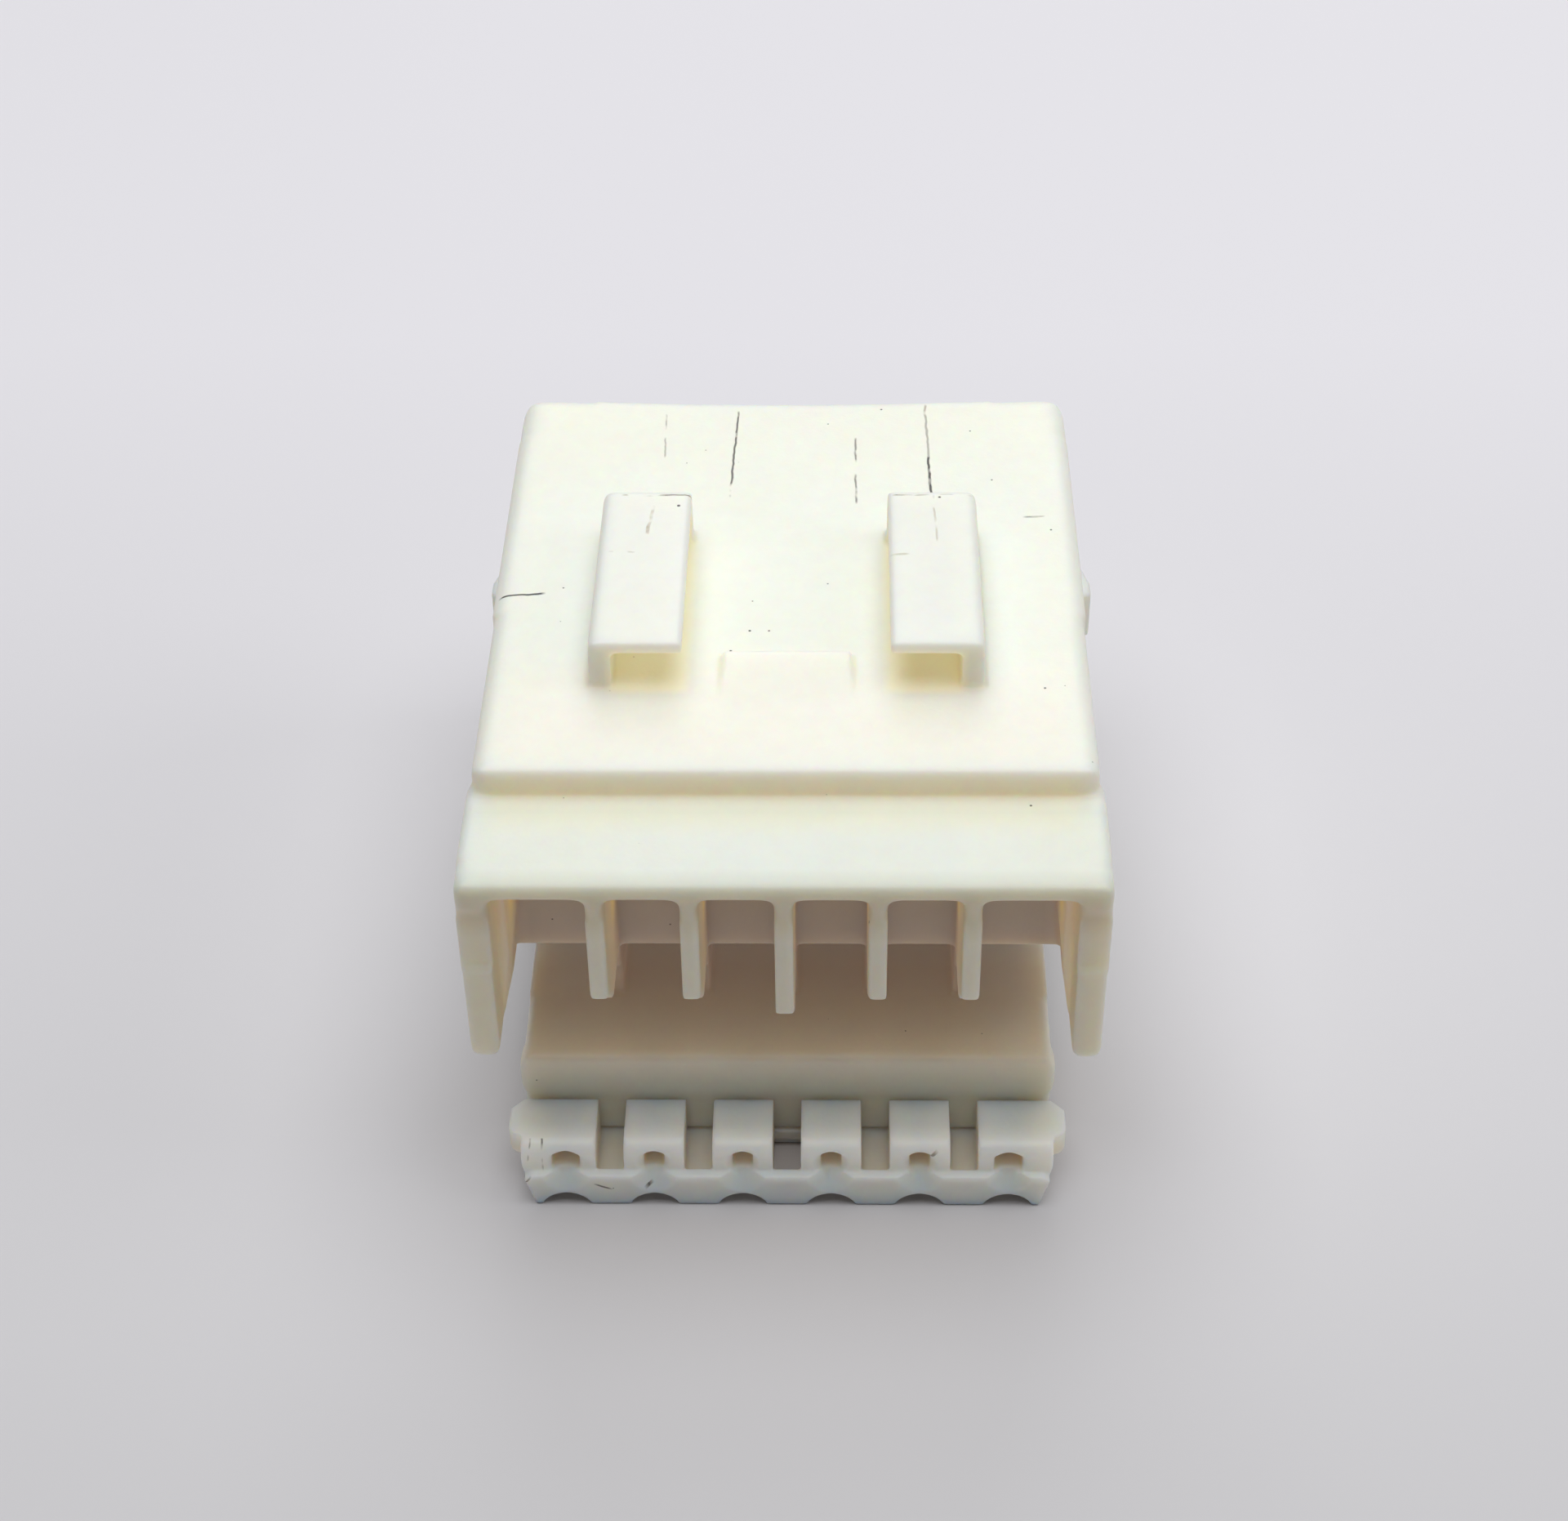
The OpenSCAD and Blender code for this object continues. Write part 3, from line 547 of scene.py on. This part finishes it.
def floor_paper(shaded_near_color, far_color):
    """Plain matt paper with painted shade: a little darker in front of the part."""
    paper = bpy.data.materials.new("floor_paper")
    paper.use_nodes = True
    tree = paper.node_tree
    shader = tree.nodes["Principled BSDF"]
    place = tree.nodes.new("ShaderNodeTexCoord").outputs["Object"]
    depth = add(tree, "ShaderNodeSeparateXYZ", Vector=place).outputs["Y"]
    share = calc(tree, "MULTIPLY_ADD", depth, 1.0 / FLOOR_FADE, 0.5, clamp=True)
    tree.links.new(blend_colors(tree, share, (*shaded_near_color, 1.0), (*far_color, 1.0)),
                   shader.inputs["Base Color"])
    shader.inputs["Roughness"].default_value = 0.9
    shader.inputs["Specular IOR Level"].default_value = 0.1
    return paper


def hang_lamp(name, tilt, turn, spread, share, distance):
    """A round soft lamp, tilted from straight overhead, that gives its share of a plain light level."""
    data = bpy.data.lights.new(name, "AREA")
    data.shape = "DISK"
    data.size = 2 * distance * math.tan(spread)
    data.energy = share * (math.pi * distance / math.cos(spread)) ** 2
    lamp = link(bpy.data.objects.new(name, data))
    aim = Vector((0, 0, HOUSING_HIGH.z / 2))
    lamp.location = aim + distance * Vector((-math.sin(turn) * math.sin(tilt),
                                             math.cos(turn) * math.sin(tilt), math.cos(tilt)))
    lamp.rotation_euler = (aim - lamp.location).to_track_quat("-Z", "Y").to_euler()


class CONNECTOR_OT_housing(bpy.types.Operator):
    """Make the housing's softened moulding"""

    bl_idname = "connector.housing"
    bl_label = "Housing"

    def execute(self, context):
        sizes = context.scene.moulding
        looks = context.scene.nylon
        piece = softened_copy("housing", "moulded_housing", sizes.housing_voxel, sizes.rounding,
                              sizes.housing_faces, HOUSING_ROUNDER)
        finish_piece(piece, "housing",
                     nylon("housing_nylon", looks.housing_color, looks, context.scene.wear, HOUSING_PAINTED_LIGHT_ZONES,
                           HOUSING_LINES))
        return {"FINISHED"}


class CONNECTOR_OT_front_holder(bpy.types.Operator):
    """Make the front holder's softened moulding"""

    bl_idname = "connector.front_holder"
    bl_label = "Front holder"

    def execute(self, context):
        sizes = context.scene.moulding
        looks = context.scene.nylon
        piece = softened_copy("front_holder", "moulded_front_holder", sizes.holder_voxel,
                              sizes.holder_rounding, sizes.holder_faces)
        finish_piece(piece, "front_holder",
                     nylon("holder_nylon", looks.holder_color, looks, context.scene.wear, HOLDER_PAINTED_LIGHT_ZONES,
                           HOLDER_LINES))
        return {"FINISHED"}


class CONNECTOR_OT_stage(bpy.types.Operator):
    """Make the floor, the lamps and the camera"""

    bl_idname = "connector.stage"
    bl_label = "Stage"

    def execute(self, context):
        stage = context.scene.stage
        scene = context.scene

        bm = bmesh.new()
        bmesh.ops.create_grid(bm, x_segments=1, y_segments=1, size=FLOOR_REACH)
        floor = link(bpy.data.objects.new("floor", bpy.data.meshes.new("floor")))
        bm.to_mesh(floor.data)
        bm.free()
        floor.data.materials.append(floor_paper(stage.near_floor, stage.far_floor))

        for name, tilt, turn, spread, share in LAMPS:
            hang_lamp(name, math.radians(tilt), math.radians(turn), math.radians(spread), share,
                      stage.lamp_distance)
        world = bpy.data.worlds.new("studio")
        world.use_nodes = True
        world.node_tree.nodes["Background"].inputs["Color"].default_value = (1.0, 1.0, 1.0, 1.0)
        world.node_tree.nodes["Background"].inputs["Strength"].default_value = stage.sky
        scene.world = world

        lens = bpy.data.cameras.new("camera")
        lens.sensor_fit = "HORIZONTAL"
        lens.sensor_width = 36.0
        lens.lens = stage.lens
        lens.clip_start = 0.001
        camera = link(bpy.data.objects.new("camera", lens))
        hood_edge = Vector((0.0, HOUSING_LOW.y, HOOD_TOP * MM))
        camera.matrix_world = (
            Matrix.Translation(hood_edge + Vector(stage.camera_from_hood))
            @ Matrix.Rotation(stage.yaw, 4, "Z")
            @ Matrix.Rotation(math.pi / 2 - stage.pitch, 4, "X")
            @ Matrix.Rotation(stage.roll, 4, "Z"))
        scene.camera = camera
        scene.view_settings.view_transform = "Standard"
        return {"FINISHED"}


class CONNECTOR_PT_sidebar(bpy.types.Panel):
    """Lists the housing's pieces and its stage"""

    bl_label = "Connector housing"
    bl_space_type = "VIEW_3D"
    bl_region_type = "UI"
    bl_category = "Connector"

    def draw(self, context):
        for operator in OPERATORS:
            self.layout.operator(operator.bl_idname)


OPERATORS = (CONNECTOR_OT_housing, CONNECTOR_OT_front_holder, CONNECTOR_OT_stage)
CLASSES = (MouldingSettings, NylonSettings, WearSettings, StageSettings, *OPERATORS, CONNECTOR_PT_sidebar)


def register():
    for cls in CLASSES:
        bpy.utils.register_class(cls)
    bpy.types.Scene.moulding = bpy.props.PointerProperty(type=MouldingSettings)
    bpy.types.Scene.nylon = bpy.props.PointerProperty(type=NylonSettings)
    bpy.types.Scene.wear = bpy.props.PointerProperty(type=WearSettings)
    bpy.types.Scene.stage = bpy.props.PointerProperty(type=StageSettings)


def unregister():
    del bpy.types.Scene.moulding, bpy.types.Scene.nylon, bpy.types.Scene.wear, bpy.types.Scene.stage
    for cls in reversed(CLASSES):
        bpy.utils.unregister_class(cls)


def main():
    register()
    make_finishes()
    bpy.ops.connector.housing()
    bpy.ops.connector.front_holder()
    bpy.ops.connector.stage()


if __name__ == "__main__":
    main()
